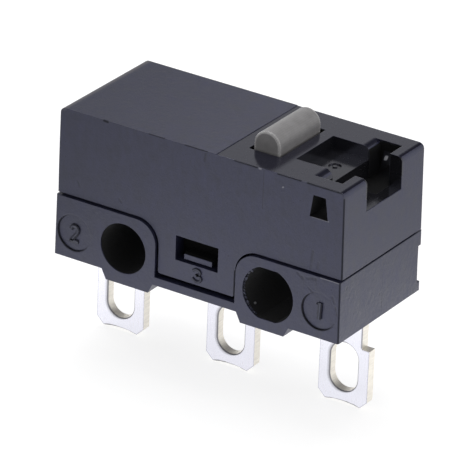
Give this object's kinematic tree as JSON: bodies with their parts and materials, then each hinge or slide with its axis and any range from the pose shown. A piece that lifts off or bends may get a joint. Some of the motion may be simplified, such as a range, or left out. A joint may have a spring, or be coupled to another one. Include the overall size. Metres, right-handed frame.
{
  "type": "snap-action micro switch",
  "caption": "Subminiature snap-action switch with a pin plunger, solder-lug terminals, mounting holes and an empty lever pocket.",
  "frame": {"origin": "midpoint between the two mounting holes, at mid-thickness of the case", "axes": "+X towards the common-terminal end of the case, +Y towards the back face, +Z towards the plunger"},
  "size_m": [0.0128, 0.0058, 0.0109],
  "materials": {
    "case_plastic": "satin moulded black",
    "plunger_plastic": "satin moulded warm grey",
    "terminal_plate": "bright silver plate",
    "spring_copper": "bare rolled copper alloy",
    "contact_silver": "bare silver alloy"
  },
  "bodies": {
    "case": {"base": "case_plastic", "cover": "case_plastic", "common_terminal": "terminal_plate", "normally_closed_terminal": "terminal_plate", "normally_open_terminal": "terminal_plate", "normally_closed_contact": "contact_silver", "normally_open_contact": "contact_silver"},
    "plunger": {"plunger": "plunger_plastic"},
    "contact_arm": {"snap_spring": "spring_copper", "moving_contact": "contact_silver"}
  },
  "joints": [
    {"name": "plunger_travel", "type": "slide", "parent": "case", "child": "plunger", "axis": [0, 0, -1], "range_m": [0, 0.0006], "stiffness_N_per_m": 2000, "springref_m": -0.0001, "deforming": ["snap_spring"]},
    {"name": "contact_swing", "type": "hinge", "parent": "case", "child": "contact_arm", "pos_m": [0.004, 0, 0.00335], "axis": [0, -1, 0], "range_deg": [0, 1.68], "deforming": ["snap_spring"]}
  ],
  "couplings": [
    {"joint": "contact_swing", "follows": "plunger_travel", "rad_per_m": 48.3}
  ]
}
